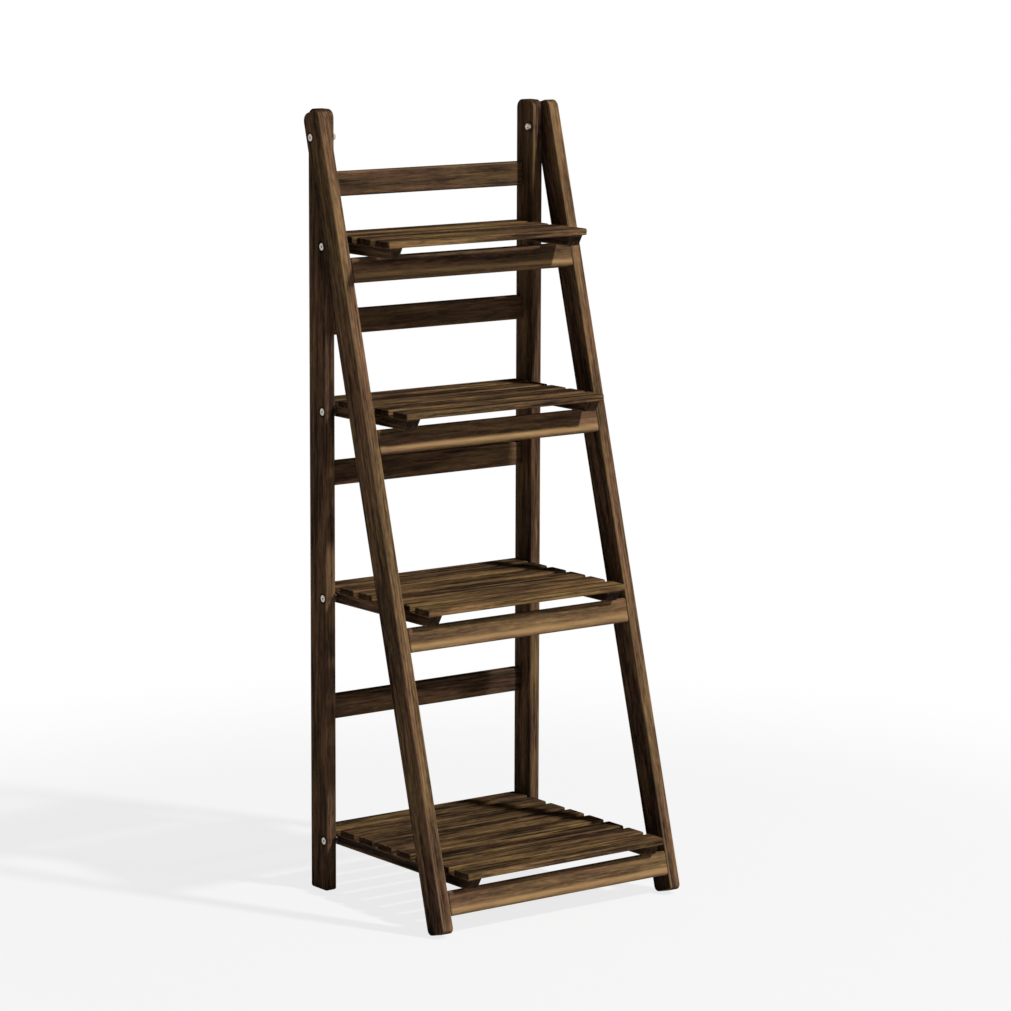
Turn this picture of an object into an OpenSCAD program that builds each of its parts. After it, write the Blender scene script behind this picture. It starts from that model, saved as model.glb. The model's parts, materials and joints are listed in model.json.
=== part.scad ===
/* [Frame] */
// Height of the rear legs, which stand upright
stand_height = 1100; // [1000:10:1200]
// Width over the outer faces of the front legs
front_width = 412; // [380:2:460]
// Thickness of every leg, side to side
leg_thickness = 17; // [16:0.5:20]
// Depth of every leg, front to back
leg_depth = 39; // [37:0.5:42]
// Lean of the front legs from upright, in degrees
front_lean = 15.1; // [14.5:0.1:15.5]
// Distance from the top of the rear legs down to the pivot that joins the legs
pivot_drop = 38; // [30:1:50]
// Space between a front leg and the rear leg beside it
leg_gap = 1; // [0.9:0.1:2]
// Radius of the rounded tops of the legs
top_round = 12; // [8:1:14]
// Radius of the eased corners at the feet
foot_round = 8; // [4:1:9]
// Distance from the front face of a rear leg back to the bolts through it
bolt_to_front = 7.5; // [7:0.5:9]
// Distance from the pivot back to the rear edge of a front leg
pivot_to_leg_back = 10.3; // [9:0.1:12]

/* [Rails] */
// Height of every rail
rail_height = 34; // [30:1:38]
// Thickness of every rail
rail_thickness = 17; // [16:0.5:18]
// Distance from the top of the rear legs down to the middle of the top rear rail
rear_rail_1_drop = 105.5; // [95:0.5:115]
// Distance from the top of the rear legs down to the second rear rail
rear_rail_2_drop = 297.5; // [275:0.5:320]
// Distance from the top of the rear legs down to the third rear rail
rear_rail_3_drop = 509; // [485:1:530]
// Height of the middle of the lowest rear rail above the floor
rear_rail_4_height = 258; // [230:1:300]

/* [Shelves] */
// Distance from the top of the rear legs down to the top shelf
shelf_1_drop = 172; // [160:1:180]
// Distance from the top of the rear legs down to the second shelf
shelf_2_drop = 401.5; // [385:0.5:420]
// Distance from the top of the rear legs down to the third shelf
shelf_3_drop = 664.5; // [650:0.5:680]
// Height of the top face of the bottom shelf above the floor
shelf_4_top = 88; // [85:1:100]
// Depth of the top shelf, front to back
shelf_1_depth = 166; // [160:0.5:172]
// Depth of the second shelf
shelf_2_depth = 207.5; // [201.5:0.5:213.5]
// Depth of the third shelf
shelf_3_depth = 258.5; // [251.5:0.5:265.5]
// Distance that the bottom shelf reaches in front of the rail under it
shelf_4_overhang = 20.8; // [12:0.1:28]
// Number of slats in the top shelf
shelf_1_slats = 4; // [3:1:4]
// Number of slats in the second shelf
shelf_2_slats = 5; // [4:1:5]
// Number of slats in the third shelf
shelf_3_slats = 6; // [5:1:6]
// Number of slats in the bottom shelf
shelf_4_slats = 8; // [7:1:8]
// Width of every slat
slat_width = 34; // [31:1:36]
// Thickness of every slat
slat_thickness = 9.5; // [9:0.5:11]
// Space between the end of a slat and the rear leg beside it
shelf_side_gap = 1; // [0.8:0.1:3]
// Distance from the back of the rear legs forward to the last slat, which lies between them
shelf_back_gap = 1.5; // [0.5:0.5:4]
// Width of the battens under the slats
batten_width = 22; // [18:1:26]
// Height of the battens under the slats
batten_height = 15; // [14:0.5:17]
// Distance from the end of a slat in to the batten
batten_inset = 4.5; // [2:0.5:6]
// Distance from the front edge of a shelf back to its battens
batten_setback = 4.5; // [3:0.5:6]
// Slant of the front end of a batten, which is cut back at its lower edge
batten_undercut = 9; // [5:1:10]
// Distance from the rear edge of a shelf forward to the end of its battens
batten_end_gap = 5; // [4:0.5:6]
// Radius of the rounded lower edge at the rear end of a batten
batten_round = 5; // [3:0.5:6]
// Distance from the underside of the slats down to the bolt through a batten
bolt_drop = 7; // [6:0.5:7.5]

/* [Bolts, nuts and washers] */
// Diameter of every bolt
bolt_diameter = 5; // [4:0.5:5]
// Diameter of the flat countersunk bolt heads
bolt_head_diameter = 10; // [9:0.5:11]
// Height of the cylindrical rim above the cone of a bolt head
bolt_head_rim = 0.4; // [0.3:0.1:0.6]
// Width across the flats of the socket in a bolt head
socket_flats = 3; // [2.5:0.5:3.5]
// Depth of the socket in a bolt head
socket_depth = 2; // [1.5:0.5:2.5]
// Length of bolt that shows past its nut
bolt_end = 1.5; // [1:0.5:3]
// Width across the flats of a nut
nut_flats = 8; // [7:0.5:8]
// Height of a nut
nut_height = 4; // [3:0.5:4]
// Diameter of the washer under a nut
nut_washer_diameter = 10; // [9.5:0.5:12]
// Thickness of the washer under a nut
nut_washer_thickness = 1; // [0.8:0.1:1.2]
// Diameter of the thin washer between a front leg and a rear leg
leg_washer_diameter = 14; // [11:1:14]
// Diameter of the spacer between a rear leg and a batten
spacer_diameter = 11; // [9:0.5:12]

/* [Dowels and screws] */
// Diameter of the dowels that join the rails to the legs
dowel_diameter = 6; // [5:0.5:7]
// Length of dowel in the rail
dowel_in_rail = 14; // [12:1:20]
// Length of dowel in the leg
dowel_in_leg = 10; // [8:1:11]
// Distance between the two dowels of a joint
dowel_spacing = 17; // [14:1:18]
// Bevel on the ends of a dowel
dowel_bevel = 0.8; // [0.4:0.1:1.2]
// Diameter of the wood screws that hold the slats
screw_diameter = 3.5; // [3:0.5:3.5]
// Diameter of a screw head
screw_head_diameter = 7; // [6:0.5:7.5]
// Length of a screw
screw_length = 20; // [18:1:21]
// Length of the point of a screw
screw_point = 3; // [2:0.5:4]
// Distance from the middle of a slat back to its screws
screw_setback = 2; // [1.5:0.5:2.5]

/* [Clearances] */
// Space all round a bolt that something turns on
running_clearance = 0.1; // [0.05:0.01:0.1]
// Space all round a dowel or screw
tight_clearance = 0.05; // [0.02:0.01:0.1]
// Space left between pieces that turn past or rest on each other
rest_gap = 0.3; // [0.2:0.05:0.35]
// Depth of a bolt or screw head below the wood
head_recess = 0.2; // [0.1:0.1:0.4]

/* [Hidden] */
$fn = 64;
wood = [0.36, 0.23, 0.13];
pale_wood = [0.76, 0.62, 0.42];
metal = [0.80, 0.79, 0.76];
cut = 1;
dowel_end_space = 0.5;
socket_sides = 6;
screw_slot_width = 0.9;
screw_slot_length = 3.6;
screw_slot_depth = 1.2;

pivot_height = stand_height - pivot_drop;
shelf_drops = [shelf_1_drop, shelf_2_drop, shelf_3_drop, stand_height - shelf_4_top];
shelf_tops = [for (drop = shelf_drops) stand_height - drop];
slat_counts = [shelf_1_slats, shelf_2_slats, shelf_3_slats, shelf_4_slats];
rear_rail_drops = [rear_rail_1_drop, rear_rail_2_drop, rear_rail_3_drop, stand_height - rear_rail_4_height];
rear_rail_heights = [for (drop = rear_rail_drops) stand_height - drop];
tiers = [0 : 3];
sides = ["left", "right"];

front_leg_inner = front_width / 2 - leg_thickness;
rear_leg_outer = front_leg_inner - leg_gap;
rear_leg_inner = rear_leg_outer - leg_thickness;
slat_half_length = rear_leg_inner - shelf_side_gap;
batten_outer = slat_half_length - batten_inset;
batten_inner = batten_outer - batten_width;
batten_middle = (batten_outer + batten_inner) / 2;

leg_front = pivot_to_leg_back - leg_depth;
front_rail_y = leg_front + rail_thickness / 2;
foot_rise = (foot_round - pivot_to_leg_back) * sin(front_lean) - foot_round;
front_leg_foot = -(pivot_height + foot_rise) / cos(front_lean) - foot_round;
top_rise = (leg_front + top_round) * sin(front_lean);
front_leg_top = (stand_height - top_round - pivot_height + top_rise) / cos(front_lean) + top_round;

batten_bottoms = [for (top = shelf_tops) top - slat_thickness - batten_height];
front_rail_tops = [
    for (bottom = batten_bottoms)
        (bottom - rest_gap - pivot_height + leg_front * sin(front_lean)) / cos(front_lean)
];
front_rail_middles = [for (top = front_rail_tops) top - rail_height / 2];
bolt_heights = [for (top = shelf_tops) top - slat_thickness - bolt_drop];

pivot_to_last_slat = leg_depth - bolt_to_front - shelf_back_gap;
rail_4_reach = -leg_front * cos(front_lean) - front_rail_tops[3] * sin(front_lean);
shelf_4_depth = round(2 * (pivot_to_last_slat + rail_4_reach + shelf_4_overhang)) / 2;
shelf_depths = [shelf_1_depth, shelf_2_depth, shelf_3_depth, shelf_4_depth];
back_y = (shelf_back_gap + shelf_4_depth) / 2;
rear_leg_front_y = back_y - leg_depth;
pivot_y = rear_leg_front_y + bolt_to_front;
last_slat_back_y = back_y - shelf_back_gap;
rear_rail_y = back_y - rail_thickness / 2;

bolt_radius = bolt_diameter / 2;
head_radius = bolt_head_diameter / 2;
bolt_hole_radius = bolt_radius + running_clearance;
nut_hole_radius = bolt_radius + tight_clearance;
leg_washer_thickness = leg_gap - rest_gap;
spacer_length = shelf_side_gap + batten_inset - rest_gap;
nut_stack = nut_washer_thickness + nut_height;
pivot_bolt_length = 2 * leg_thickness + leg_gap + nut_stack + bolt_end - head_recess;
batten_reach = rear_leg_outer - batten_inner + rest_gap;
shelf_bolt_length = batten_reach + nut_stack + bolt_end - head_recess;
shelf_nut_face = batten_inner - rest_gap;

function slat_pitch(tier) = (shelf_depths[tier] - slat_width) / (slat_counts[tier] - 1);
function shelf_front_y(tier) = last_slat_back_y - shelf_depths[tier];
function slat_middle_y(tier, slat) = shelf_front_y(tier) + slat * slat_pitch(tier) + slat_width / 2;
function screw_y(tier, slat) = slat_middle_y(tier, slat) + screw_setback;
function rail_name(frame, tier) = str(frame, "_rail_", tier + 1);
function slat_name(tier, slat) = str("shelf_", tier + 1, "_slat_", slat + 1);
function batten_name(tier, side) = str("shelf_", tier + 1, "_batten_", side);
function screws_name(tier) = str("shelf_", tier + 1, "_screws");

// Places its children on the right side, or mirrored on the left side
module on_side(side) {
    mirror([side == "left" ? 1 : 0, 0, 0]) children();
}

// Places its children, drawn in the leaning frame, with the pivot at their origin
module leaning() {
    translate([0, pivot_y, pivot_height]) rotate([-front_lean, 0, 0]) children();
}

// Turns its children, drawn along Z, to lie along X
module along_x() {
    rotate([0, 90, 0]) children();
}

// Waste outside a rounded edge along X, centred on the round, for the corner at +Y +Z
module edge_waste(radius, length) {
    difference() {
        translate([-cut, 0, 0]) cube([length + 2 * cut, radius + cut, radius + cut]);
        translate([-2 * cut, 0, 0]) along_x() cylinder(r = radius, h = length + 4 * cut);
    }
}

// A leg from foot to top, front face at Y = front, inner face at X = 0, without holes
module leg_board(front, foot, top, foot_radius) {
    back = front + leg_depth;
    difference() {
        translate([0, front, foot]) cube([leg_thickness, leg_depth, top - foot]);
        translate([0, back - top_round, top - top_round]) edge_waste(top_round, leg_thickness);
        translate([0, front + top_round, top - top_round]) mirror([0, 1, 0])
            edge_waste(top_round, leg_thickness);
        translate([0, back - foot_radius, foot + foot_radius]) mirror([0, 0, 1])
            edge_waste(foot_radius, leg_thickness);
        translate([0, front + foot_radius, foot + foot_radius]) mirror([0, 1, 0]) mirror([0, 0, 1])
            edge_waste(foot_radius, leg_thickness);
    }
}

// Countersunk hole for a bolt: its mouth at the origin, the hole running down to -Z
module bolt_hole(depth) {
    cone = head_radius - bolt_radius;
    mouth = head_recess + bolt_head_rim;
    translate([0, 0, -depth - cut]) cylinder(r = bolt_hole_radius, h = depth + 2 * cut);
    translate([0, 0, -mouth - cone])
        cylinder(r1 = bolt_hole_radius, r2 = head_radius + running_clearance, h = cone);
    translate([0, 0, -mouth]) cylinder(r = head_radius + running_clearance, h = mouth + cut);
}

// Holes for the two dowels of a joint, going depth into +X from X = 0
module dowel_holes(depth) {
    for (offset = [-dowel_spacing / 2, dowel_spacing / 2])
        translate([-cut, 0, offset]) along_x()
            cylinder(d = dowel_diameter + 2 * tight_clearance, h = depth + dowel_end_space + cut);
}

// Upright rear leg on the right side
module rear_leg() {
    translate([rear_leg_inner, 0, 0]) difference() {
        leg_board(rear_leg_front_y, 0, stand_height, foot_round / 2);
        for (height = rear_rail_heights)
            translate([0, rear_rail_y, height]) dowel_holes(dowel_in_leg);
        for (height = bolt_heights)
            translate([leg_thickness, pivot_y, height]) along_x() bolt_hole(leg_thickness);
        translate([-cut, pivot_y, pivot_height]) along_x()
            cylinder(r = bolt_hole_radius, h = leg_thickness + 2 * cut);
    }
}

// Leaning front leg on the right side
module front_leg() {
    leaning() translate([front_leg_inner, 0, 0]) difference() {
        leg_board(leg_front, front_leg_foot, front_leg_top, foot_round);
        for (height = front_rail_middles)
            translate([0, front_rail_y, height]) dowel_holes(dowel_in_leg);
        translate([leg_thickness, 0, 0]) along_x() bolt_hole(leg_thickness);
    }
}

// Cross rail centred on the origin, with two dowel holes in each end
module rail(half_length) {
    difference() {
        translate([-half_length, -rail_thickness / 2, -rail_height / 2])
            cube([2 * half_length, rail_thickness, rail_height]);
        for (side = sides)
            on_side(side) translate([half_length, 0, 0]) mirror([1, 0, 0]) dowel_holes(dowel_in_rail);
    }
}

module rear_rail(tier) {
    color(wood) translate([0, rear_rail_y, rear_rail_heights[tier]]) rail(rear_leg_inner);
}

module front_rail(tier) {
    color(wood) leaning() translate([0, front_rail_y, front_rail_middles[tier]]) rail(front_leg_inner);
}

// One dowel along X, crossing the joint between rail and leg at X = 0
module dowel() {
    radius = dowel_diameter / 2;
    length = dowel_in_rail + dowel_in_leg;
    translate([-dowel_in_rail, 0, 0]) along_x() rotate_extrude() polygon([
        [0, 0],
        [radius - dowel_bevel, 0],
        [radius, dowel_bevel],
        [radius, length - dowel_bevel],
        [radius - dowel_bevel, length],
        [0, length]
    ]);
}

// The four dowels at the two ends of a rail
module rail_dowels(half_length) {
    for (side = sides)
        for (offset = [-dowel_spacing / 2, dowel_spacing / 2])
            on_side(side) translate([half_length, 0, offset]) dowel();
}

module rear_frame_dowels() {
    color(pale_wood)
        for (height = rear_rail_heights)
            translate([0, rear_rail_y, height]) rail_dowels(rear_leg_inner);
}

module front_frame_dowels() {
    color(pale_wood)
        leaning() for (height = front_rail_middles)
            translate([0, front_rail_y, height]) rail_dowels(front_leg_inner);
}

// Countersunk bolt with its head at the origin and its shank down -Z
module bolt(length) {
    cone = head_radius - bolt_radius;
    bevel = 0.5;
    difference() {
        rotate_extrude() polygon([
            [0, 0],
            [head_radius, 0],
            [head_radius, -bolt_head_rim],
            [bolt_radius, -bolt_head_rim - cone],
            [bolt_radius, bevel - length],
            [bolt_radius - bevel, -length],
            [0, -length]
        ]);
        translate([0, 0, -socket_depth])
            cylinder(d = socket_flats / cos(30), h = socket_depth + cut, $fn = socket_sides);
    }
}

// Washer or spacer round a bolt, from X = 0 to X = thickness
module ring(diameter, thickness) {
    along_x() difference() {
        cylinder(d = diameter, h = thickness);
        translate([0, 0, -cut]) cylinder(r = nut_hole_radius, h = thickness + 2 * cut);
    }
}

// Nut round a bolt, from X = 0 to X = nut_height, its corners bevelled
module nut() {
    corner = nut_flats / 2 / cos(30);
    bevel = corner - nut_flats / 2;
    along_x() difference() {
        intersection() {
            cylinder(r = corner, h = nut_height, $fn = 6);
            rotate_extrude() polygon([
                [0, 0],
                [nut_flats / 2, 0],
                [corner + cut, bevel + cut],
                [corner + cut, nut_height - bevel - cut],
                [nut_flats / 2, nut_height],
                [0, nut_height]
            ]);
        }
        translate([0, 0, -cut]) cylinder(r = nut_hole_radius, h = nut_height + 2 * cut);
    }
}

// Places its children at the top pivot, on both sides
module at_pivots(x) {
    for (side = sides)
        on_side(side) translate([x, pivot_y, pivot_height]) children();
}

// Places its children at the bolt of every shelf, on both sides
module at_shelf_bolts(x) {
    for (side = sides)
        for (height = bolt_heights)
            on_side(side) translate([x, pivot_y, height]) children();
}

module pivot_bolts() {
    color(metal) at_pivots(front_width / 2 - head_recess) along_x() bolt(pivot_bolt_length);
}

module pivot_leg_washers() {
    color(metal) at_pivots(rear_leg_outer) ring(leg_washer_diameter, leg_washer_thickness);
}

module pivot_nut_washers() {
    color(metal) at_pivots(rear_leg_inner - nut_washer_thickness)
        ring(nut_washer_diameter, nut_washer_thickness);
}

module pivot_nuts() {
    color(metal) at_pivots(rear_leg_inner - nut_stack) nut();
}

module shelf_bolts() {
    color(metal) at_shelf_bolts(rear_leg_outer - head_recess) along_x() bolt(shelf_bolt_length);
}

module shelf_spacers() {
    color("black") at_shelf_bolts(rear_leg_inner - spacer_length) ring(spacer_diameter, spacer_length);
}

module shelf_nut_washers() {
    color(metal) at_shelf_bolts(shelf_nut_face - nut_washer_thickness)
        ring(nut_washer_diameter, nut_washer_thickness);
}

module shelf_nuts() {
    color(metal) at_shelf_bolts(shelf_nut_face - nut_stack) nut();
}

// Wood screw driven up +Z, with the flat of its head at the origin
module screw() {
    radius = screw_diameter / 2;
    head = screw_head_diameter / 2;
    difference() {
        rotate_extrude() polygon([
            [0, 0],
            [head, 0],
            [radius, head - radius],
            [radius, screw_length - screw_point],
            [0, screw_length]
        ]);
        for (turn = [0, 90])
            rotate([0, 0, turn]) translate([-screw_slot_length / 2, -screw_slot_width / 2, -cut])
                cube([screw_slot_length, screw_slot_width, screw_slot_depth + cut]);
    }
}

// Hole that a screw fills, from its countersunk mouth at the origin up to +Z
module screw_hole() {
    radius = screw_diameter / 2 + tight_clearance;
    head = screw_head_diameter / 2 + tight_clearance;
    translate([0, 0, -cut]) cylinder(r = radius, h = screw_length + head_recess + dowel_end_space + cut);
    translate([0, 0, head_recess]) cylinder(r1 = head, r2 = radius, h = head - radius);
    translate([0, 0, -cut]) cylinder(r = head, h = head_recess + cut);
}

// Places its children at the screws of one slat, at the underside of the battens
module at_slat_screws(tier, slat) {
    for (side = sides)
        on_side(side) translate([batten_middle, screw_y(tier, slat), batten_bottoms[tier]]) children();
}

module shelf_slat(tier, slat) {
    front = slat_middle_y(tier, slat) - slat_width / 2;
    color(wood) difference() {
        translate([-slat_half_length, front, shelf_tops[tier] - slat_thickness])
            cube([2 * slat_half_length, slat_width, slat_thickness]);
        at_slat_screws(tier, slat) screw_hole();
    }
}

// Batten under the slats, which turns on its bolt beside the rear leg
module shelf_batten(tier, side) {
    front = shelf_front_y(tier) + batten_setback;
    tail = last_slat_back_y - batten_end_gap;
    bottom = batten_bottoms[tier];
    top = bottom + batten_height;
    color(wood) on_side(side) difference() {
        translate([batten_inner, 0, 0]) rotate([90, 0, 90]) linear_extrude(batten_width)
            polygon([[front, top], [front + batten_undercut, bottom], [tail, bottom], [tail, top]]);
        translate([batten_inner, tail - batten_round, bottom + batten_round]) mirror([0, 0, 1])
            edge_waste(batten_round, batten_width);
        translate([batten_inner - cut, pivot_y, bolt_heights[tier]]) along_x()
            cylinder(r = bolt_hole_radius, h = batten_width + 2 * cut);
        for (slat = [0 : slat_counts[tier] - 1])
            translate([batten_middle, screw_y(tier, slat), bottom]) screw_hole();
    }
}

module shelf_screws(tier) {
    color(metal)
        for (slat = [0 : slat_counts[tier] - 1])
            at_slat_screws(tier, slat) translate([0, 0, head_recess]) screw();
}

module rear_leg_on(side) {
    color(wood) on_side(side) rear_leg();
}

module front_leg_on(side) {
    color(wood) on_side(side) front_leg();
}

rear_leg_on("left");  // rear_leg_left
rear_leg_on("right");  // rear_leg_right
for (tier = tiers) rear_rail(tier);
rear_frame_dowels();
pivot_bolts();
pivot_leg_washers();
pivot_nut_washers();
pivot_nuts();
shelf_bolts();
shelf_spacers();
shelf_nut_washers();
shelf_nuts();
front_leg_on("left");  // front_leg_left
front_leg_on("right");  // front_leg_right
for (tier = tiers) front_rail(tier);
front_frame_dowels();
for (tier = tiers)
    for (slat = [0 : slat_counts[tier] - 1])
        shelf_slat(tier, slat);
for (tier = tiers)
    for (side = sides)
        shelf_batten(tier, side);
for (tier = tiers) shelf_screws(tier);
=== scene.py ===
import json
import math
import random

import bmesh
import bpy
from bpy.props import FloatProperty, FloatVectorProperty, PointerProperty
from mathutils import Matrix, Vector

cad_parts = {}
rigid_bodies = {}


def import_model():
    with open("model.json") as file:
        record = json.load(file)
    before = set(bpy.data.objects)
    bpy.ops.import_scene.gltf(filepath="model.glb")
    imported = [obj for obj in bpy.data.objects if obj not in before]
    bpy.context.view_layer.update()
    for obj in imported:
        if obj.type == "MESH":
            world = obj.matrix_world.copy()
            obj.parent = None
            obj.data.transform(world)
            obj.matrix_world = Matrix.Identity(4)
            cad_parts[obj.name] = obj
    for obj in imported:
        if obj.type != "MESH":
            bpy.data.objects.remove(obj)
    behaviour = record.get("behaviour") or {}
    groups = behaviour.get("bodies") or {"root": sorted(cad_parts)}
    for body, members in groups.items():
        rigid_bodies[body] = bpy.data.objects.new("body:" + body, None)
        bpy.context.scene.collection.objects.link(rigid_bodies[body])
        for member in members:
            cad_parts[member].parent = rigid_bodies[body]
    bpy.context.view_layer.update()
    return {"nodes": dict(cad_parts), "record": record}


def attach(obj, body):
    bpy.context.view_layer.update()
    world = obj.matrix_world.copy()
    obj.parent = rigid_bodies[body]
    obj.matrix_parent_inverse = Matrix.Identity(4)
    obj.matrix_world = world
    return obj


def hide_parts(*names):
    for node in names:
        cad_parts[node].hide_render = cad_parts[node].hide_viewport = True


bl_info = {
    "name": "Folding Ladder Shelf",
    "version": (1, 0, 0),
    "blender": (4, 5, 0),
    "location": "3D View > Sidebar > Folding Shelf",
    "description": "Dresses a folding ladder shelf in carbonised fir, zinc and nylon",
    "category": "Object",
}

# Blender's own first objects go before the frame is loaded
for leftover in list(bpy.data.objects):
    bpy.data.objects.remove(leftover)
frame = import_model()
NODES = frame["nodes"]
BEHAVIOUR = frame["record"]["behaviour"]
BODY_OF = {node: body for body, nodes in BEHAVIOUR["bodies"].items() for node in nodes}
HINGES = {joint["name"]: joint["pos_m"] for joint in BEHAVIOUR["joints"]}

LEAN = math.radians(15.1)  # of the front frame, back from upright
ALONG_X = Vector((1, 0, 0))
ALONG_Y = Vector((0, 1, 0))
ALONG_Z = Vector((0, 0, 1))
UP_THE_LEAN = Vector((0, math.sin(LEAN), math.cos(LEAN)))
BACK_OF_THE_LEAN = Vector((0, math.cos(LEAN), -math.sin(LEAN)))

SIDES = ("left", "right")
TIERS = (1, 2, 3, 4)
SLATS = {1: 4, 2: 5, 3: 6, 4: 8}

# How much lighter or darker than plain fir each board is
REAR_LEG_TONES = {"left": -0.03, "right": -0.01}
FRONT_LEG_TONES = {"left": 0.15, "right": 0.12}
REAR_RAIL_TONES = {1: -0.03, 2: 0.04, 3: -0.01, 4: -0.05}
FRONT_RAIL_TONES = {1: -0.04, 2: 0.01, 3: 0.06, 4: 0.11}
FRONT_SLAT_TONES = {1: -0.04, 2: -0.05, 3: 0.06, 4: 0.0}
# Slats behind the front one: a tone that differs at random, set darker as painted shade
BACK_SLAT_TONES_AND_SHADE = (-0.13, -0.04)
BATTEN_TONE = -0.12


# Settings


def length(name, description, default, most):
    return FloatProperty(
        name=name,
        description=description,
        default=default,
        min=0.0,
        max=most,
        subtype="DISTANCE",
        unit="LENGTH",
    )


def colour(name, description, default):
    return FloatVectorProperty(
        name=name,
        description=description,
        default=default,
        min=0.0,
        max=1.0,
        size=3,
        subtype="COLOR",
    )


def factor(name, description, default):
    return FloatProperty(
        name=name,
        description=description,
        default=default,
        min=0.0,
        max=1.0,
        subtype="FACTOR",
    )


def power(name, description, default):
    return FloatProperty(
        name=name,
        description=description,
        default=default,
        min=0.0,
        subtype="POWER",
        unit="POWER",
    )


class FirSettings(bpy.types.PropertyGroup):
    """Colours and grain of the carbonised fir"""

    char: colour("Char", "Deepest burnt streaks", (0.019, 0.0122, 0.0096))
    umber: colour("Umber", "Dark wood between the streaks", (0.055, 0.0320, 0.0226))
    brown: colour("Brown", "Main colour of the wood", (0.157, 0.0920, 0.0495))
    honey: colour("Honey", "Light streaks along the grain", (0.338, 0.2030, 0.0980))
    gold: colour("Gold", "Pale band in the front rails", (0.450, 0.275, 0.125))
    olive: colour("Olive", "Tint of the cooler streaks", (0.96, 1.0, 0.90))
    rose: colour("Rose", "Tint of the redder streaks", (1.0, 0.93, 0.97))
    straw: colour("Straw", "Tint of the slats", (1.0, 1.0, 0.85))
    worn: colour("Worn", "Arrises where the finish is thin", (0.380, 0.245, 0.130))
    ring_spacing: length("Ring spacing", "Distance between growth rings", 0.0042, 0.02)
    relief: length("Relief", "Depth of the brushed grain", 0.0004, 0.002)
    wear: factor("Wear", "How pale the arrises are rubbed", 0.45)
    roughness: factor("Roughness", "Dullness of the oiled surface", 0.68)


class ArrisSettings(bpy.types.PropertyGroup):
    """Radii to which the arrises of the boards are eased"""

    legs: length("Legs", "Arris radius of the legs", 0.0020, 0.0023)
    rails: length("Rails", "Arris radius of the rails", 0.0030, 0.006)
    slats: length("Slats", "Arris radius of the slats", 0.0024, 0.004)
    battens: length("Battens", "Arris radius of the battens", 0.0012, 0.003)
    ends: length("Ends", "Arris radius at the sawn ends", 0.0006, 0.001)


class FittingSettings(bpy.types.PropertyGroup):
    """Colours of the bolts, nuts, washers, screws, spacers and dowels"""

    zinc: colour("Zinc", "Plating of the bolts, nuts and screws", (0.56, 0.52, 0.46))
    # The washers' plating is dull, and painted darker still as shade round the nuts
    dull_and_shaded_zinc: colour("Dull zinc", "Plating of the washers", (0.090, 0.074, 0.060))
    zinc_roughness: factor("Zinc roughness", "Dullness of the plating", 0.42)
    # The spacers are painted near black as the shade between leg and batten
    nylon: colour("Nylon", "Spacers between legs and shelves", (0.045, 0.036, 0.030))
    beech: colour("Beech", "Dowels inside the joints", (0.60, 0.43, 0.25))


class StageSettings(bpy.types.PropertyGroup):
    """Floor, light and camera"""

    floor: colour("Floor", "Colour of the floor", (0.80, 0.80, 0.80))
    key: power("Key light", "Power of the soft light at the front right", 1260.0)
    fill: power("Fill light", "Power of the soft light at the front left", 2.0)
    sky: factor("Sky", "Level of the even light from all round", 0.09)
    lens: FloatProperty(
        name="Lens",
        description="Focal length of the camera",
        default=143.76,
        min=20.0,
        unit="CAMERA",
    )


# Shader expressions


class Socket:
    """An output of a shader node that can be used in expressions"""

    def __init__(self, shader, output):
        self.shader = shader
        self.output = output

    def math(self, operation, *values):
        inputs = dict(enumerate((self, *values)))
        return self.shader.add("ShaderNodeMath", {"operation": operation}, inputs)

    def __add__(self, other):
        return self.math("ADD", other)

    __radd__ = __add__

    def __sub__(self, other):
        return self.math("SUBTRACT", other)

    def __rsub__(self, other):
        return (self * -1.0) + other

    def __mul__(self, other):
        return self.math("MULTIPLY", other)

    __rmul__ = __mul__

    def __truediv__(self, other):
        return self.math("DIVIDE", other)

    def __pow__(self, other):
        return self.math("POWER", other)

    def __abs__(self):
        return self.math("ABSOLUTE")

    def lower(self, other):
        return self.math("MINIMUM", other)

    def higher(self, other):
        return self.math("MAXIMUM", other)

    def smooth(self, start, end):
        """0 before start, 1 after end, and a smooth rise between them"""
        return self.shader.add(
            "ShaderNodeMapRange",
            {"interpolation_type": "SMOOTHSTEP"},
            {"Value": self, "From Min": start, "From Max": end},
        )


def find_socket(sockets, key):
    """The socket with that number, or the first with that identifier or name"""
    if isinstance(key, int):
        return sockets[key]
    return [s for s in sockets if key in (s.identifier, s.name)][0]


def set_stops(ramp, stops):
    while len(ramp.elements) < len(stops):
        ramp.elements.new(1.0)
    for element, (position, value) in zip(ramp.elements, stops):
        element.position = position
        element.color = (*value, 1.0)


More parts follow.
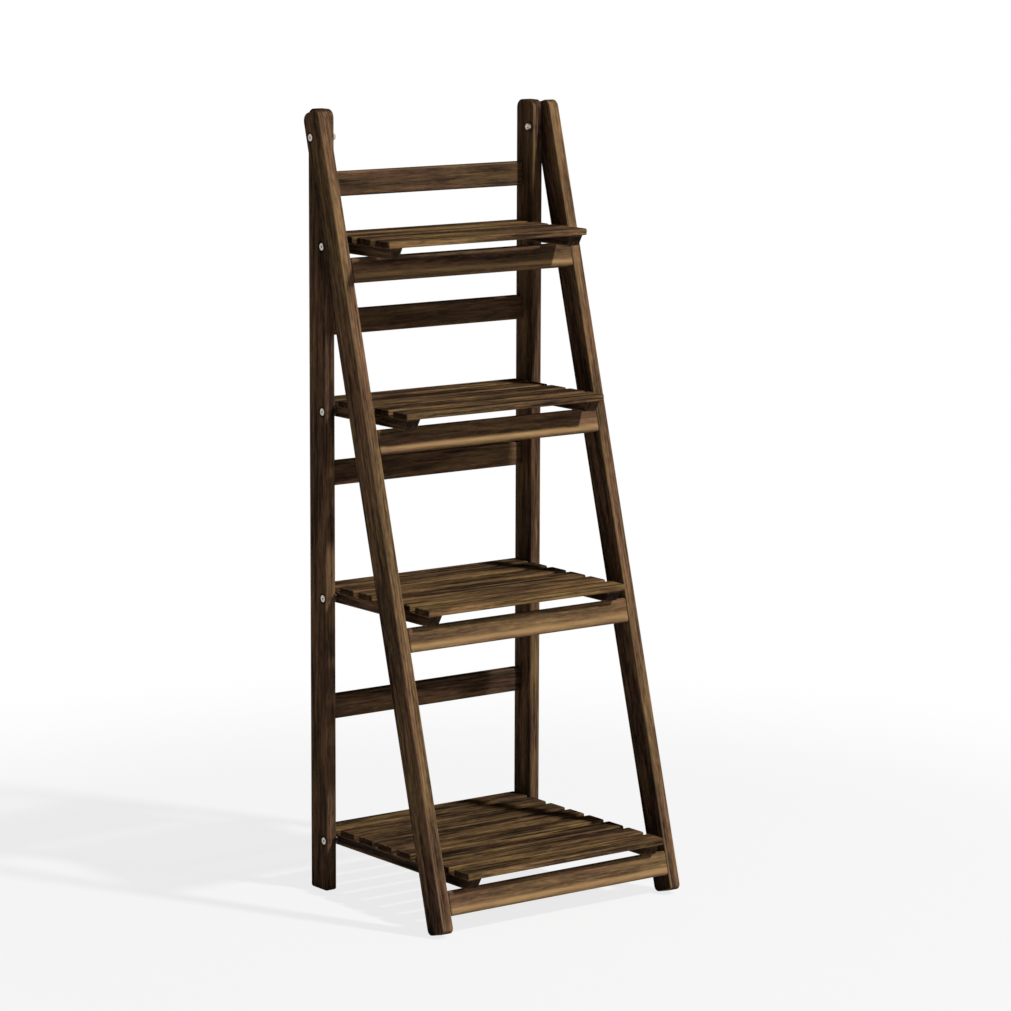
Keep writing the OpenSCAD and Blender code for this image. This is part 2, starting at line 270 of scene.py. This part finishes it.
class Shader:
    """The node tree of a material or of the sky"""

    def __init__(self, owner, surface="Principled BSDF"):
        self.owner = owner
        self.owner.use_nodes = True
        self.tree = owner.node_tree
        self.surface = self.tree.nodes[surface]

    def add(self, kind, settings=None, inputs=None, output=0):
        """Adds a node, sets it up, then fills its sockets with values or links"""
        node = self.tree.nodes.new(kind)
        for key, value in (settings or {}).items():
            if key == "stops":
                set_stops(node.color_ramp, value)
            else:
                setattr(node, key, value)
        for key, value in (inputs or {}).items():
            self.fill(find_socket(node.inputs, key), value)
        return Socket(self, find_socket(node.outputs, output))

    def fill(self, socket, value):
        if isinstance(value, Socket):
            self.tree.links.new(value.output, socket)
        elif socket.type == "RGBA":
            socket.default_value = (*value, 1.0)
        else:
            socket.default_value = value

    def finish(self, **inputs):
        """Fills the sockets of the surface and returns the material or sky"""
        for key, value in inputs.items():
            self.fill(find_socket(self.surface.inputs, key.replace("_", " ")), value)
        return self.owner

    def object_place(self):
        return self.add("ShaderNodeTexCoord", output="Object")

    def noise(self, place, scale, seed, detail=2.0, roughness=0.5):
        """Noise with so many marks a metre along each axis of the place"""
        spot = self.add(
            "ShaderNodeVectorMath",
            {"operation": "MULTIPLY_ADD"},
            {0: place, 1: scale, 2: seed},
        )
        return self.add(
            "ShaderNodeTexNoise",
            {},
            {"Vector": spot, "Scale": 1.0, "Detail": detail, "Roughness": roughness},
        )

    def mix(self, amount, first, second, blend="MIX"):
        return self.add(
            "ShaderNodeMix",
            {"data_type": "RGBA", "blend_type": blend},
            {"Factor_Float": amount, "A_Color": first, "B_Color": second},
            "Result_Color",
        )

    def facing(self, axis):
        """1 where the surface faces along the axis, -1 where it faces the other way"""
        normal = self.add("ShaderNodeTexCoord", output="Normal")
        return self.add(
            "ShaderNodeVectorMath",
            {"operation": "DOT_PRODUCT"},
            {0: normal, 1: axis},
            "Value",
        )

    def bump(self, height, distance):
        return self.add(
            "ShaderNodeBump",
            {},
            {"Height": height, "Distance": distance, "Strength": 1.0},
        )

    def seen(self):
        """1 for what the camera sees, also in metal or glass, and 0 for light"""
        rays = ("Is Camera Ray", "Is Glossy Ray", "Is Transmission Ray")
        camera, glossy, through = (
            self.add("ShaderNodeLightPath", output=ray) for ray in rays
        )
        return camera.higher(glossy).higher(through)


def new_shader(name):
    return Shader(bpy.data.materials.new(name))


# Boards

SHARP = math.radians(40)  # faces that meet at a larger angle have an arris
FLAT = math.radians(0.3)  # faces that meet at a smaller angle are one
SAME_CORNER = 1e-5
ON_FACE = 2e-5  # how far inside a face a corner may lie and still be on it
ARRIS_STEPS = 4

# How far from their ends these boards are eased all round
LEG_TOP = 0.012
BATTEN_TIP = 0.010


class Board:
    """A straight piece of timber: its axes, its middle and half its size each way

    The axes run along the grain, across it and through the board.
    """

    def __init__(self, node, along, across):
        self.node = node
        self.axes = (along, across, along.cross(across))
        points = [vertex.co for vertex in NODES[node].data.vertices]
        spans = [[point.dot(axis) for point in points] for axis in self.axes]
        middles = [(min(span) + max(span)) / 2 for span in spans]
        self.half = [(max(span) - min(span)) / 2 for span in spans]
        self.middle = sum(
            (axis * middle for axis, middle in zip(self.axes, middles)), Vector()
        )
        self.turn = Matrix(self.axes).transposed().to_euler()

    def place(self, point):
        """A point's distance from the middle along each axis"""
        return [(point - self.middle).dot(axis) for axis in self.axes]

    def is_arris(self, edge, rounded, sawn):
        """Whether an edge of the solid is one to ease

        Where sawn, those are the edges of the two end faces. Otherwise they are the
        long edges, and the edges of the broad faces within rounded of an end.
        """
        if len(edge.link_faces) != 2 or edge.calc_face_angle() < SHARP:
            return False
        corners = [[abs(x) for x in self.place(vertex.co)] for vertex in edge.verts]

        def lies_at_face(way, reach=0.0):
            least = self.half[way] - reach - ON_FACE
            return all(corner[way] > least for corner in corners)

        if sawn:
            return lies_at_face(0)
        by_the_end = rounded > 0 and lies_at_face(0, rounded)
        return lies_at_face(2) and (lies_at_face(1) or by_the_end)


def eased(board, radius, end_radius, rounded):
    """A copy of the board's solid with its arrises eased, in place of the CAD node"""
    mesh = bpy.data.meshes.new("fir_" + board.node)
    work = bmesh.new()
    work.from_mesh(NODES[board.node].data)
    bmesh.ops.remove_doubles(work, verts=work.verts, dist=SAME_CORNER)
    bmesh.ops.dissolve_limit(work, angle_limit=FLAT, verts=work.verts, edges=work.edges)
    for width, sawn in ((radius, False), (end_radius, True)):
        if width > 0:
            bmesh.ops.bevel(
                work,
                geom=[e for e in work.edges if board.is_arris(e, rounded, sawn)],
                offset=width,
                offset_type="OFFSET",
                segments=ARRIS_STEPS,
                profile=0.5,
                affect="EDGES",
                clamp_overlap=False,
            )
    for face in work.faces:
        face.smooth = True
    for edge in work.edges:
        if len(edge.link_faces) == 2:
            edge.smooth = edge.calc_face_angle() < SHARP
    work.to_mesh(mesh)
    work.free()
    piece = bpy.data.objects.new("fir_" + board.node, mesh)
    bpy.context.scene.collection.objects.link(piece)
    normals = piece.modifiers.new("weighted normals", "WEIGHTED_NORMAL")
    normals.keep_sharp = True
    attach(piece, BODY_OF[board.node])
    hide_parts(board.node)
    return piece


def make_board(node, along, across, arris, ends=0.0, rounded=0.0, **finish):
    """Puts an eased board in fir of its own in place of a CAD board"""
    board = Board(node, along, across)
    piece = eased(board, arris, ends, rounded)
    piece.data.materials.clear()
    piece.data.materials.append(Fir(board, **finish).material())


# Fir

# Where a mark starts and where it is full: a cosine with an axis, or a distance
SQUARE_ON = (0.5, 0.9)
SAWN = (0.45, 0.90)
FOOT = (0.15, 0.02)
EDGE_LINE = (0.0012, 0.0)
# Painted shadow round the bolts
BOLT_SHADOW = (0.0095, 0.0055)
BAND_GLOW = (0.0160, 0.0040)
BAND_CORE = (0.0056, 0.0005)
RUBBED = (0.0026, 0.0004)
SEEDS = 40.0  # the noise of each mark starts at most this far from the middle


class Fir:
    """The carbonised and brushed fir of one board

    It has growth rings, burnt and pale streaks, rubbed arrises and darker sawn ends.
    On the legs, shade is painted on the broad faces and round the bolts.
    The values below are those of a plain board.
    """

    tone = 0.0  # lighter or darker all over
    tint = None  # multiplies the wood's own colour
    band = 0.0  # how far below its middle a rail has a pale band
    rub = 1.0  # share of the wear on its arrises
    edges = 0.0  # how much paler it is along its long edges
    flanks = (0.0, 0.0)  # painted shade on its broad faces, against and along its third axis
    fade = 0.0  # how much its broad faces darken from the middle to the far edge
    foot = 0.0  # how much darker it is at the foot, and twice that on its broad faces
    scuff = 0.0  # how much paler its front arrises are towards the foot
    lines = 1.0  # contrast of its long marks
    flecks = 0.2  # contrast of its short marks
    bolts = ()  # points on the bolts that cross it along X, with painted shadow round them

    def __init__(self, board, **finish):
        for name, value in finish.items():
            setattr(self, name, value)
        self.board = board
        self.look = bpy.context.scene.folding_shelf_fir
        self.chance = random.Random(board.node)
        self.shader = new_shader("fir_" + board.node)
        self.place = self.shader.object_place()
        self.grain = self.shader.add(
            "ShaderNodeMapping",
            {"vector_type": "TEXTURE"},
            {"Vector": self.place, "Location": board.middle, "Rotation": board.turn},
        )
        self.along, self.across, self.through = (
            self.shader.add("ShaderNodeSeparateXYZ", {}, {0: self.grain}, name)
            for name in "XYZ"
        )
        self.side = board.half[1] - abs(self.across)

        self.wander = self.noise(3.0, 14.0, 3.0) - 0.5
        self.late = self.late_wood()
        self.cloud = self.noise(5.0, 40.0) - 0.5
        self.streak = self.noise(9.0, 120.0, 3.0, 0.6) - 0.5
        self.fibre = self.noise(26.0, 420.0, 3.0, 0.6) - 0.5
        self.hair = self.noise(80.0, 1700.0) - 0.5
        self.burnt = self.noise(7.0, 110.0).smooth(0.58, 0.74)
        self.hue = self.noise(6.0, 70.0).smooth(0.38, 0.62)
        self.fleck = self.noise(70.0, 320.0, 2.0, 0.6) - 0.5

    def noise(self, lengthwise, crosswise, detail=2.0, roughness=0.5):
        """Noise with so many marks a metre along the grain and across it"""
        seed = tuple(self.chance.uniform(-SEEDS, SEEDS) for _ in range(3))
        scale = (lengthwise, crosswise, crosswise)
        return self.shader.noise(self.grain, scale, seed, detail, roughness)

    def late_wood(self):
        """The dark part of the growth rings, round a pith that lies off the board"""
        chance = self.chance
        pith_across = chance.uniform(-0.9, 0.9) * self.board.half[1]
        pith_through = chance.choice((-1, 1)) * chance.uniform(0.022, 0.05)
        drift_across = chance.uniform(-0.02, 0.02)
        drift_through = chance.uniform(-0.015, 0.015)
        across = self.across - pith_across + self.along * drift_across
        across = across + self.wander * 0.012
        through = self.through - pith_through + self.along * drift_through
        radius = (across * across + through * through) ** 0.5
        rings = (radius / self.look.ring_spacing + self.wander * 1.3).math("FRACT")
        return rings.smooth(0.30, 0.90) * (1 - rings.smooth(0.93, 1.0))

    def near_foot(self):
        """1 at the foot of a leg"""
        return (self.along + self.board.half[0]).smooth(*FOOT)

    def near_bolt(self, bolt):
        """1 round a bolt that crosses the board along X, where its shadow is painted"""
        flat = self.shader.add(
            "ShaderNodeVectorMath",
            {"operation": "MULTIPLY"},
            {0: self.place, 1: (0.0, 1.0, 1.0)},
        )
        away = self.shader.add(
            "ShaderNodeVectorMath",
            {"operation": "DISTANCE"},
            {0: flat, 1: (0.0, bolt[1], bolt[2])},
            "Value",
        )
        return (away + self.fibre * 0.002).smooth(*BOLT_SHADOW)

    def level(self):
        """How light the wood is, painted shade and all, from 0 in the burnt streaks
        towards 1
        """
        light = self.cloud * 0.75 + self.streak * 0.85 + self.fibre * 0.80
        dark = self.late * 0.12 + self.burnt * 0.22
        level = 0.50 + self.tone + light * self.lines
        level = level + self.fleck * self.flecks + self.hair * 0.40 - dark * self.lines
        if self.edges:
            level = level + self.side.smooth(*EDGE_LINE) * self.edges
        if any(self.flanks) or self.fade or self.foot:
            turned = self.shader.facing(self.board.axes[2])
            against = turned.smooth(-SQUARE_ON[0], -SQUARE_ON[1])
            with_it = turned.smooth(*SQUARE_ON)
            broad = abs(turned).smooth(*SQUARE_ON)
            # Painted shade on the broad faces, against and along the third axis
            level = level + against * self.flanks[0] + with_it * self.flanks[1]
            level = level - broad * self.across * (self.fade / self.board.half[1])
            level = level - self.near_foot() * (broad + 1.0) * self.foot
        # Painted shadow round each bolt
        for bolt in self.bolts:
            level = level - self.near_bolt(bolt) * 0.22
        if self.band:
            level = level + abs(self.across + self.band).smooth(*BAND_GLOW) * 0.08
        return level

    def wood(self):
        """The colour of the wood away from its arrises and ends"""
        look, shader = self.look, self.shader
        stops = [
            (0.0, look.char),
            (0.27, look.umber),
            (0.52, look.brown),
            (0.84, look.honey),
        ]
        base = shader.add("ShaderNodeValToRGB", {"stops": stops}, {"Fac": self.level()})
        warmth = shader.mix(self.hue, look.olive, look.rose)
        base = shader.mix(1.0, base, warmth, "MULTIPLY")
        if self.tint:
            base = shader.mix(1.0, base, self.tint, "MULTIPLY")
        if self.band:
            lit = abs(self.across + self.band + self.wander * 0.004).smooth(*BAND_CORE)
            lit = lit * (0.80 + self.streak + self.fibre)
            base = shader.mix(lit, base, look.gold)
        return base

    def rubbed(self):
        """1 on the arrises

        The middle one of the distances to an end, a side and a face of the board is the
        distance to the nearest arris.
        """
        end = self.board.half[0] - abs(self.along)
        face = self.board.half[2] - abs(self.through)
        arris = self.side.lower(end).higher(self.side.higher(end).lower(face))
        return (arris + self.fibre * 0.0016 + self.cloud * 0.0030).smooth(*RUBBED)

    def material(self):
        look, shader = self.look, self.shader
        rubbed = self.rubbed()
        sawn = abs(shader.facing(self.board.axes[0])).smooth(*SAWN)

        wear = rubbed * (look.wear * self.rub)
        if self.scuff:
            front = self.across.smooth(0.0, -self.board.half[1])
            wear = wear + rubbed * self.near_foot() * front * self.scuff
        base = shader.mix(wear, self.wood(), look.worn)
        base = shader.mix(sawn * 0.62, base, look.char)

        dull = look.roughness + self.fibre * 0.16 + self.burnt * 0.12
        dull = dull - rubbed * 0.08 + sawn * 0.2
        height = 0.5 + self.fibre * 0.6 + self.streak * 0.5 + self.hair * 0.3
        height = height - self.late * 0.35 - self.burnt * 0.3
        return shader.finish(
            Base_Color=base,
            Roughness=dull,
            Specular_IOR_Level=0.0,
            Normal=shader.bump(height, look.relief),
        )


# Fittings


def shade(node, material):
    """Puts one material on every slot of a CAD node"""
    for slot in NODES[node].material_slots:
        slot.material = material


def darker(tint, share):
    return tuple(share * channel for channel in tint)


def zinc(name, plating):
    """Zinc plating with faint clouds and scratches"""
    look = bpy.context.scene.folding_shelf_fittings
    shader = new_shader(name)
    place = shader.object_place()
    cloud = shader.noise(place, (260.0, 260.0, 260.0), (3.1, 5.7, 9.2), 3.0) - 0.5
    scratch = shader.noise(place, (2400.0, 420.0, 420.0), (8.4, 1.3, 2.2)) - 0.5
    return shader.finish(
        Base_Color=shader.mix(0.5 + cloud * 1.6, plating, darker(plating, 0.72)),
        Metallic=1.0,
        Roughness=look.zinc_roughness + cloud * 0.25 + scratch * 0.15,
        Normal=shader.bump(scratch, 0.00003),
    )


def nylon():
    """Nylon painted near black as the shade it sits in, faintly mottled"""
    tint = bpy.context.scene.folding_shelf_fittings.nylon
    shader = new_shader("nylon")
    place = shader.object_place()
    mottle = shader.noise(place, (420.0, 420.0, 420.0), (1.7, 4.4, 6.3)) - 0.5
    return shader.finish(
        Base_Color=shader.mix(0.5 + mottle * 1.4, tint, darker(tint, 0.86)),
        Roughness=0.42 + mottle * 0.2,
        Normal=shader.bump(mottle, 0.00005),
    )


def beech():
    """Pale beech with fine flecks, lying across the stand"""
    tint = bpy.context.scene.folding_shelf_fittings.beech
    shader = new_shader("beech")
    place = shader.object_place()
    fleck = shader.noise(place, (90.0, 1400.0, 1400.0), (2.9, 7.1, 0.6), 3.0) - 0.5
    return shader.finish(
        Base_Color=shader.mix(0.5 + fleck * 1.5, tint, darker(tint, 0.66)),
        Roughness=0.58 + fleck * 0.2,
        Normal=shader.bump(fleck, 0.0001),
    )


# Operators for the boards and fittings


class RearLegs(bpy.types.Operator):
    """Eases and finishes the two upright rear legs"""

    bl_idname = "folding_shelf.rear_legs"
    bl_label = "Rear Legs"

    def execute(self, context):
        arris = context.scene.folding_shelf_arrises
        for side in SIDES:
            make_board(
                f"rear_leg_{side}",
                ALONG_Z,
                ALONG_Y,
                arris.legs,
                rounded=LEG_TOP,
                tone=REAR_LEG_TONES[side],
                rub=0.1,
                fade=-0.05,
                foot=0.04,
                lines=0.85,
                bolts=HINGES.values(),
            )
        return {"FINISHED"}


class FrontLegs(bpy.types.Operator):
    """Eases and finishes the two leaning front legs"""

    bl_idname = "folding_shelf.front_legs"
    bl_label = "Front Legs"

    def execute(self, context):
        arris = context.scene.folding_shelf_arrises
        # Painted shade: the legs' tone is set high and their broad faces painted
        # darker, the inner ones most
        outer, inner = -0.12, -0.20
        flanks = {"left": (inner, outer), "right": (outer, inner)}
        for side in SIDES:
            make_board(
                f"front_leg_{side}",
                UP_THE_LEAN,
                BACK_OF_THE_LEAN,
                arris.legs,
                rounded=LEG_TOP,
                tone=FRONT_LEG_TONES[side],
                rub=0.5,
                flanks=flanks[side],
                fade=0.14,
                foot=0.09,
                scuff=0.55,
                lines=0.95,
                flecks=0.5,
                bolts=[HINGES["front_frame_fold"]],
            )
        return {"FINISHED"}


class Rails(bpy.types.Operator):
    """Eases and finishes the rails that tie each pair of legs"""

    bl_idname = "folding_shelf.rails"
    bl_label = "Rails"

    def execute(self, context):
        arris = context.scene.folding_shelf_arrises
        for tier in TIERS:
            make_board(
                f"rear_rail_{tier}",
                ALONG_X,
                ALONG_Z,
                arris.rails,
                tone=REAR_RAIL_TONES[tier],
                rub=0.5,
                lines=0.75,
            )
        for tier in TIERS:
            make_board(
                f"front_rail_{tier}",
                ALONG_X,
                UP_THE_LEAN,
                arris.rails,
                tone=FRONT_RAIL_TONES[tier],
                band=0.0098,
                rub=0.3,
                lines=0.65,
                flecks=0.35,
            )
        return {"FINISHED"}


class Slats(bpy.types.Operator):
    """Eases and finishes the slats of the four shelves"""

    bl_idname = "folding_shelf.slats"
    bl_label = "Slats"

    def execute(self, context):
        arris = context.scene.folding_shelf_arrises
        straw = context.scene.folding_shelf_fir.straw
        for tier, count in SLATS.items():
            for slat in range(1, count + 1):
                node = f"shelf_{tier}_slat_{slat}"
                tone = random.Random(node + " tone").uniform(*BACK_SLAT_TONES_AND_SHADE)
                if slat == 1:
                    tone = FRONT_SLAT_TONES[tier]
                make_board(
                    node,
                    ALONG_X,
                    ALONG_Y,
                    arris.slats,
                    arris.ends,
                    tone=tone,
                    tint=straw,
                    rub=0.4,
                    edges=0.08,
                    lines=1.3,
                    flecks=0.4,
                )
        return {"FINISHED"}


class Battens(bpy.types.Operator):
    """Eases and finishes the battens that carry the slats"""

    bl_idname = "folding_shelf.battens"
    bl_label = "Battens"

    def execute(self, context):
        arris = context.scene.folding_shelf_arrises
        for tier in TIERS:
            for side in SIDES:
                make_board(
                    f"shelf_{tier}_batten_{side}",
                    ALONG_Y,
                    ALONG_Z,
                    arris.battens,
                    rounded=BATTEN_TIP,
                    tone=BATTEN_TONE,
                )
        return {"FINISHED"}


class Fittings(bpy.types.Operator):
    """Finishes the bolts, nuts, washers, spacers, screws and dowels"""

    bl_idname = "folding_shelf.fittings"
    bl_label = "Bolts, Screws and Dowels"

    def execute(self, context):
        look = context.scene.folding_shelf_fittings
        bright = zinc("zinc", look.zinc)
        for node in ("pivot_bolts", "pivot_nuts", "shelf_bolts", "shelf_nuts"):
            shade(node, bright)
        for tier in TIERS:
            shade(f"shelf_{tier}_screws", bright)
        # Washers: dull plating, painted darker as shade
        dull = zinc("dull_and_shaded_zinc", look.dull_and_shaded_zinc)
        for node in ("pivot_leg_washers", "pivot_nut_washers", "shelf_nut_washers"):
            shade(node, dull)
        shade("shelf_spacers", nylon())
        pale = beech()
        shade("rear_frame_dowels", pale)
        shade("front_frame_dowels", pale)
        return {"FINISHED"}


# The stage

FLOOR_REACH = 6.0
FLOOR_FADE = (0.7, 1.6)  # over these distances the floor turns into plain white
FLOOR_GLOW = 0.80  # share of plain white in the floor near the stand
KEY_SIZE, KEY_PLACE = 0.9, Vector((4.3, -7.6, 9.0))
FILL_SIZE, FILL_PLACE = 2.4, Vector((-3.4, -2.6, 1.6))
LIT_POINT = Vector((0, 0, 0.5))
WHITE = (1, 1, 1)

CAMERA_PLACE = (-3.3059, -4.4339, 1.476)
CAMERA_YAW = math.radians(36.891)
CAMERA_PITCH = math.radians(9.482)
CAMERA_ROLL = math.radians(0.213)
SENSOR_WIDTH = 36.0


class Stage(bpy.types.Operator):
    """Adds the floor, the soft lights and the camera"""

    bl_idname = "folding_shelf.stage"
    bl_label = "Stage"

    def execute(self, context):
        look = context.scene.folding_shelf_stage
        self.add_floor(look)
        self.add_sky(look)
        self.add_light("key", look.key, KEY_SIZE, KEY_PLACE)
        self.add_light("fill", look.fill, FILL_SIZE, FILL_PLACE)
        self.add_camera(look)
        context.scene.view_settings.view_transform = "Standard"
        return {"FINISHED"}

    def add_floor(self, look):
        mesh = bpy.data.meshes.new("floor")
        signs = ((-1, -1), (1, -1), (1, 1), (-1, 1))
        corners = [(x * FLOOR_REACH, y * FLOOR_REACH, 0) for x, y in signs]
        mesh.from_pydata(corners, [], [(0, 1, 2, 3)])
        floor = bpy.data.objects.new("floor", mesh)
        bpy.context.scene.collection.objects.link(floor)

        shader = new_shader("floor")
        away = shader.add(
            "ShaderNodeVectorMath",
            {"operation": "LENGTH"},
            {0: shader.object_place()},
            "Value",
        )
        share = FLOOR_GLOW + away.smooth(*FLOOR_FADE) * (1.0 - FLOOR_GLOW)
        white = shader.add("ShaderNodeEmission", {}, {"Color": WHITE, "Strength": 1.0})
        mesh.materials.append(shader.finish(Base_Color=look.floor, Roughness=0.9))
        lit = Socket(shader, shader.surface.outputs[0])
        mixed = shader.add(
            "ShaderNodeMixShader", {}, {0: shader.seen() * share, 1: lit, 2: white}
        )
        shader.fill(shader.tree.nodes["Material Output"].inputs["Surface"], mixed)

    def add_sky(self, look):
        """An even light, which shows as plain white"""
        shader = Shader(bpy.data.worlds.new("sky"), "Background")
        strength = shader.add(
            "ShaderNodeMapRange", {}, {"Value": shader.seen(), "To Min": look.sky}
        )
        bpy.context.scene.world = shader.finish(Color=WHITE, Strength=strength)

    def add_light(self, name, energy, size, place):
        lamp = bpy.data.lights.new(name, "AREA")
        lamp.shape = "DISK"
        lamp.size = size
        lamp.energy = energy
        light = bpy.data.objects.new(name, lamp)
        light.location = place
        towards = LIT_POINT - place
        light.rotation_euler = towards.to_track_quat("-Z", "Y").to_euler()
        bpy.context.scene.collection.objects.link(light)

    def add_camera(self, look):
        yaw, pitch, roll = CAMERA_YAW, CAMERA_PITCH, CAMERA_ROLL
        ahead = Vector(
            (
                math.sin(yaw) * math.cos(pitch),
                math.cos(yaw) * math.cos(pitch),
                -math.sin(pitch),
            )
        )
        level = Vector((math.cos(yaw), -math.sin(yaw), 0))
        above = level.cross(ahead)
        right = level * math.cos(roll) + above * math.sin(roll)
        up = above * math.cos(roll) - level * math.sin(roll)
        turn = Matrix((right, up, -ahead)).transposed().to_4x4()
        data = bpy.data.cameras.new("camera")
        data.lens = look.lens
        data.sensor_width = SENSOR_WIDTH
        camera = bpy.data.objects.new("camera", data)
        camera.matrix_world = Matrix.Translation(CAMERA_PLACE) @ turn
        bpy.context.scene.collection.objects.link(camera)
        bpy.context.scene.camera = camera


class ShelfPanel(bpy.types.Panel):
    """Settings and steps of the folding shelf"""

    bl_idname = "VIEW3D_PT_folding_shelf"
    bl_label = "Folding Shelf"
    bl_space_type = "VIEW_3D"
    bl_region_type = "UI"
    bl_category = "Folding Shelf"

    def draw(self, context):
        for name in SETTINGS:
            box = self.layout.box()
            settings = getattr(context.scene, name)
            for key in settings.__annotations__:
                box.prop(settings, key)
        for operator in OPERATORS:
            self.layout.operator(operator.bl_idname)


SETTINGS = {
    "folding_shelf_fir": FirSettings,
    "folding_shelf_arrises": ArrisSettings,
    "folding_shelf_fittings": FittingSettings,
    "folding_shelf_stage": StageSettings,
}
OPERATORS = (RearLegs, FrontLegs, Rails, Slats, Battens, Fittings, Stage)


def register():
    for name, group in SETTINGS.items():
        bpy.utils.register_class(group)
        setattr(bpy.types.Scene, name, PointerProperty(type=group))
    for operator in OPERATORS:
        bpy.utils.register_class(operator)
    bpy.utils.register_class(ShelfPanel)


def unregister():
    bpy.utils.unregister_class(ShelfPanel)
    for operator in reversed(OPERATORS):
        bpy.utils.unregister_class(operator)
    for name, group in SETTINGS.items():
        delattr(bpy.types.Scene, name)
        bpy.utils.unregister_class(group)


def main():
    register()
    bpy.ops.folding_shelf.rear_legs()
    bpy.ops.folding_shelf.front_legs()
    bpy.ops.folding_shelf.rails()
    bpy.ops.folding_shelf.slats()
    bpy.ops.folding_shelf.battens()
    bpy.ops.folding_shelf.fittings()
    bpy.ops.folding_shelf.stage()


if __name__ == "__main__":
    main()
